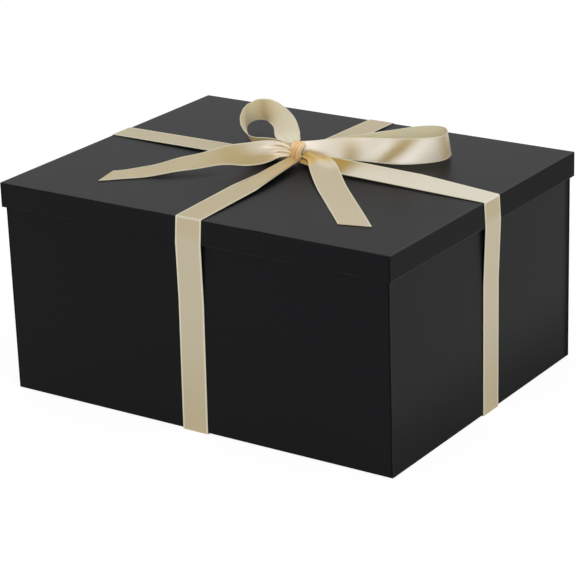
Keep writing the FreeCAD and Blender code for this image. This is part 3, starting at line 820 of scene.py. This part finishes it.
def bow_strand(name, node, heading, reach, stations, pleating, gloss, gloss_at_knot, tone,
               end_cut=0.0, ripple=NO_RIPPLE, painted_bands=(), glow_at_knot=0.0):
    """One strand of the bow, through its stations. Gloss and tone are pairs for upper and under face."""
    turned = math.radians(heading)
    out = Vector((math.cos(turned), math.sin(turned), 0))
    aside = Vector((-out.y, out.x, 0))
    waves, phase, pleat_share = pleating
    lines = smooth_lines(stations, reach)
    middles = []
    for out_share, aside_share, rise, *_ in lines:
        off_lid = UP * (STAND_OFF + rise * RIBBON_WIDTH)
        middles.append(KNOT_AT + out * (out_share * reach) + aside * (aside_share * reach) + off_lid)

    def row_at(place, walked):
        out_share, _, _, bank, width = lines[place]
        travel = (middles[min(place + 1, len(lines) - 1)] - middles[max(place - 1, 0)]).normalized()
        level_way = Vector((-travel.y, travel.x, 0)).normalized()
        bank = math.radians(bank)
        over = level_way * math.cos(bank) - travel.cross(level_way) * math.sin(bank)
        width = min(width, 1.0)
        near = max(0.0, 1 - out_share * reach / NEAR_KNOT)
        drawn_in = 1 - (1 - width) * min(1.0, PLEAT_GAIN * near) * pleat_share
        pleat, crease = pleats(drawn_in, waves, phase)
        swelling = max(0.0, walked - ripple["first"]) / RIPPLE_RISE
        fading = max(0.0, ripple["last"] - walked) / RIPPLE_FALL
        swell = ripple["depth"] * min(1.0, swelling, fading)
        # The painted glow in the folds grows towards the root by the knot.
        at_root = glow_at_knot * smooth_step((near - GLOW_FROM) / GLOW_RUN)
        by_knot = smooth_step(near)

        def lift(share):
            turn = 2 * math.pi * (walked - ripple["slant"] * share) / ripple["wave"] + ripple["phase"]
            return pleat(share) + swell * math.sin(turn)

        def glow(share):
            return min(1.0, crease(share) + at_root)

        def deep(share):
            return sum(deepened(walked, share) for deepened in painted_bands)

        # Painted shade bands take gloss away, and painted light bands add gloss, up to twice as much: a
        # painted highlight.
        def dull(share):
            return min(1.0, max(-1.0, DULL_PER_TONE * deep(share)))

        row_gloss = tuple(face + (gloss_at_knot - face) * by_knot for face in gloss)
        # The upper face is painted paler towards the knot: a painted highlight.
        row_tone = (tone[0] - PAINTED_LIGHT_AT_KNOT * by_knot, tone[1])
        return Row(middles[place], over, travel.cross(over), RIBBON_WIDTH * width, lift, glow, deep, dull,
                   gloss=row_gloss, tone=row_tone)

    rows = []
    walked = 0.0
    for place, middle in enumerate(middles):
        if place:
            walked += (middle - middles[place - 1]).length
        rows.append(row_at(place, walked))
    last_way = (middles[-1] - middles[-2]).normalized()
    for row in rows:
        at_end = max(0.0, 1 - (middles[-1] - row.middle).length / CUT_RUN)
        row.across = row.across + last_way * (end_cut / RIBBON_WIDTH) * at_end
    ribbon(name, rows, "lid", node, open_satin)


# Each strand's tone pair paints light, paler, below 0, and shade, deeper gold, above.
bow_strand(
    "left_loop", "bow_loop_left", heading=138.0, reach=0.097, stations=LEFT_LOOP,
    pleating=(1.7, 0.8, 0.3),
    gloss=(0.15, 0.2), gloss_at_knot=0.35, tone=(-0.58, 0.2),
    ripple={"depth": 0.00016, "wave": 0.0125, "slant": 0.0, "phase": 0.0, "first": 0.055, "last": 0.16},
    painted_bands=[painted_band(at=0.0905, run=0.0045, tone=0.5), painted_band(at=0.102, run=0.006, tone=-0.45)],
)
bow_strand(
    "right_loop", "bow_loop_right", heading=33.4, reach=0.1145, stations=RIGHT_LOOP,
    pleating=(0.9, 2.0, 0.0),
    gloss=(1.0, 0.1), gloss_at_knot=0.9, tone=(0.17, -1.0),
    ripple={"depth": 0.0005, "wave": 0.038, "slant": 0.0085, "phase": -2.1, "first": 0.022, "last": 0.112},
    painted_bands=[
        painted_band(at=0.039, run=0.0085, tone=0.11, middle=-0.6, spread=1.6),
        painted_band(at=0.0735, run=0.0085, tone=0.13, slant=0.0107),
        painted_band(at=0.007, run=0.010, tone=0.5, middle=-1.0, spread=0.5),
        painted_band(at=0.112, run=0.006, tone=0.1),
    ],
)
bow_strand(
    "left_tail", "bow_tail_left", heading=220.5, reach=0.1444, stations=LEFT_TAIL,
    pleating=(2.7, 0.4, 0.75),
    gloss=(0.2, 0.2), gloss_at_knot=0.55, tone=(0.28, -0.6), end_cut=TAIL_CUT, glow_at_knot=0.3,
    ripple={"depth": 0.0006, "wave": 0.042, "slant": 0.004, "phase": 0.6, "first": 0.02, "last": 0.13},
    painted_bands=[
        painted_band(at=0.045, run=0.015, tone=0.12, slant=0.004, spread=2.0),
        painted_band(at=0.018, run=0.015, tone=-0.5, middle=-0.9, spread=0.8),
        painted_band(at=0.023, run=0.014, tone=0.22, middle=0.7, spread=0.6),
        painted_band(at=0.006, run=0.006, tone=-0.5, spread=1.0),
    ],
)
bow_strand(
    "right_tail", "bow_tail_right", heading=-46.0, reach=0.153, stations=RIGHT_TAIL,
    pleating=(1.3, 1.9, 0.5),
    gloss=(0.3, 0.2), gloss_at_knot=0.2, tone=(0.16, -0.6), end_cut=TAIL_CUT, glow_at_knot=0.85,
    painted_bands=[
        painted_band(at=0.010, run=0.008, tone=0.5, middle=0.5, spread=1.2),
        painted_band(at=0.0225, run=0.008, tone=-0.8, middle=0.6, spread=0.6),
    ],
)


# Knot: one turn of the ribbon pulled tight over the bow's middle, so that it packs into a few deep pleats.
# It runs under the bow and over the top, and its end is tucked in below.

KNOT_HALF = Vector((0.0054, 0.0053, 0.0067))
KNOT_MIDDLE = KNOT_AT + UP * 0.0105
KNOT_CREASES = ((-0.62, 0.12, 0.0014, 0.0), (-0.16, 0.11, 0.0022, 0.5), (0.34, 0.12, 0.0018, 1.9))
KNOT_STEPS = 110
KNOT_FROM = -115
KNOT_TURN = 385
KNOT_LEANS_AT = math.radians(100)
KNOT_LEAN = 0.0014
KNOT_TUCK = 0.0006
KNOT_FULLNESS = 0.0009
KNOT_SHOULDER = 0.0036
KNOT_WAIST = 0.08
CREASE_LEAN = 0.25
CREASE_WAVER = 0.06
CREASE_UNEVEN = 0.25
# The knot's painted glow: a share all over, and more in its creases.
CREASE_GLOW = 480
KNOT_GLOW = 0.36


def knot_row(place):
    """One row of the knot's turn. A crease has a place across, a width, a depth and a phase of its own."""
    turn = math.radians(KNOT_FROM + KNOT_TURN * place / KNOT_STEPS)
    tuck = KNOT_TUCK * (place / KNOT_STEPS - 0.5)
    deep_half, high_half = KNOT_HALF.y + tuck, KNOT_HALF.z + tuck
    spot = Vector((0, deep_half * math.cos(turn), high_half * math.sin(turn)))
    travel = Vector((0, -deep_half * math.sin(turn), high_half * math.cos(turn)))
    lean = math.cos(turn - KNOT_LEANS_AT)

    def dip(share):
        total = 0.0
        for middle, width, depth, phase in KNOT_CREASES:
            off_middle = share - middle - CREASE_LEAN * lean - CREASE_WAVER * math.sin(turn + phase)
            uneven = 1 - CREASE_UNEVEN + CREASE_UNEVEN * math.sin(turn + 2 * phase)
            total += depth * uneven * math.exp(-((off_middle / width) ** 2))
        return total

    def lift(share):
        return KNOT_FULLNESS - dip(share) - KNOT_SHOULDER * share ** 4

    def glow(share):
        return min(1.0, KNOT_GLOW + CREASE_GLOW * dip(share))

    middle = KNOT_MIDDLE + spot + RIGHT * (KNOT_LEAN * lean)
    away = Vector((0, travel.z, -travel.y)).normalized()
    width = 2 * KNOT_HALF.x * (1 - KNOT_WAIST * math.cos(2 * turn))
    # The knot's upper face is painted pale all over: painted light.
    return Row(middle, RIGHT, away, width, lift, glow, gloss=(0.3, 0.2), tone=(-1.0, 0.0))


knot_rows = [knot_row(place) for place in range(KNOT_STEPS + 1)]
ribbon("knot", knot_rows, "lid", "bow_knot")


# Studio: a pale floor that runs into a white surround, as for a picture in a shop's catalogue.
# One large soft lamp stands above the camera, which looks down on the box from its right front corner.

WHITE = (1.0, 1.0, 1.0, 1.0)
NO_GLOW = (0.0, 0.0, 0.0, 1.0)
FLOOR_LIT = (0.8, 0.8, 0.8, 1.0)
FLOOR_SEEN = (0.17, 0.17, 0.17, 1.0)
FLOOR_GLOW = (0.895, 0.895, 0.895, 1.0)
FLOOR_MIRRORED = 0.38
FLOOR_REACH = 6.0
SURROUND_LIGHT = 0.62
SURROUND_SEEN = 1.0


def ray(nodes, kind):
    """1 for a ray of this kind and 0 for any other."""
    return nodes.add("ShaderNodeLightPath", output=f"Is {kind} Ray")


scene = bpy.context.scene
scene.view_settings.view_transform = "Standard"

floor_mesh = bpy.data.meshes.new("floor")
corners = [(x * FLOOR_REACH, y * FLOOR_REACH, 0) for x, y in ((-1, -1), (1, -1), (1, 1), (-1, 1))]
floor_mesh.from_pydata(corners, [], [(0, 1, 2, 3)])
floor = bpy.data.objects.new("floor", floor_mesh)
scene.collection.objects.link(floor)
pale = Finish("pale_floor", Roughness=0.9, Specular_IOR_Level=0.0, Emission_Strength=1.0)
seen = ray(pale, "Camera")
shown = seen.most(FLOOR_MIRRORED * ray(pale, "Glossy")).most(ray(pale, "Transmission"))
pale.set(
    Base_Color=pale.mix(seen, FLOOR_LIT, FLOOR_SEEN),
    Emission_Color=pale.mix(shown, NO_GLOW, FLOOR_GLOW),
)
floor_mesh.materials.append(pale.material)

surround = bpy.data.worlds.new("surround")
scene.world = surround
surround.use_nodes = True
backdrop = Nodes(surround.node_tree)
shown = ray(backdrop, "Camera").most(ray(backdrop, "Glossy")).most(ray(backdrop, "Transmission"))
strength = SURROUND_LIGHT + (SURROUND_SEEN - SURROUND_LIGHT) * shown
light = backdrop.add("ShaderNodeBackground", None, {"Color": WHITE, "Strength": strength})
backdrop.make("ShaderNodeOutputWorld", None, {"Surface": light})

lamp_data = bpy.data.lights.new("key", "AREA")
lamp_data.size = 1.6
lamp_data.energy = 11.2
lamp = bpy.data.objects.new("key", lamp_data)
lamp.location = Vector((1.0, -1.1, 1.15))
lamp_target = Vector((0, 0, 0.12))
lamp.rotation_mode = "QUATERNION"
lamp.rotation_quaternion = (lamp_target - lamp.location).to_track_quat("-Z", "Y")
scene.collection.objects.link(lamp)

camera_data = bpy.data.cameras.new("camera")
camera_data.lens = 148.606
camera_data.sensor_width = 36.0
camera_data.clip_end = 50.0
camera = bpy.data.objects.new("camera", camera_data)
to_right = Vector((0.83129, 0.55494, -0.03171))
to_back = Vector((0.52954, -0.77333, 0.34862))
to_top = to_back.cross(to_right)
camera_at = Matrix.Translation((0.95795, -1.40622, 0.70220))
camera.matrix_world = camera_at @ Matrix((to_right, to_top, to_back)).transposed().to_4x4()
scene.collection.objects.link(camera)
scene.camera = camera
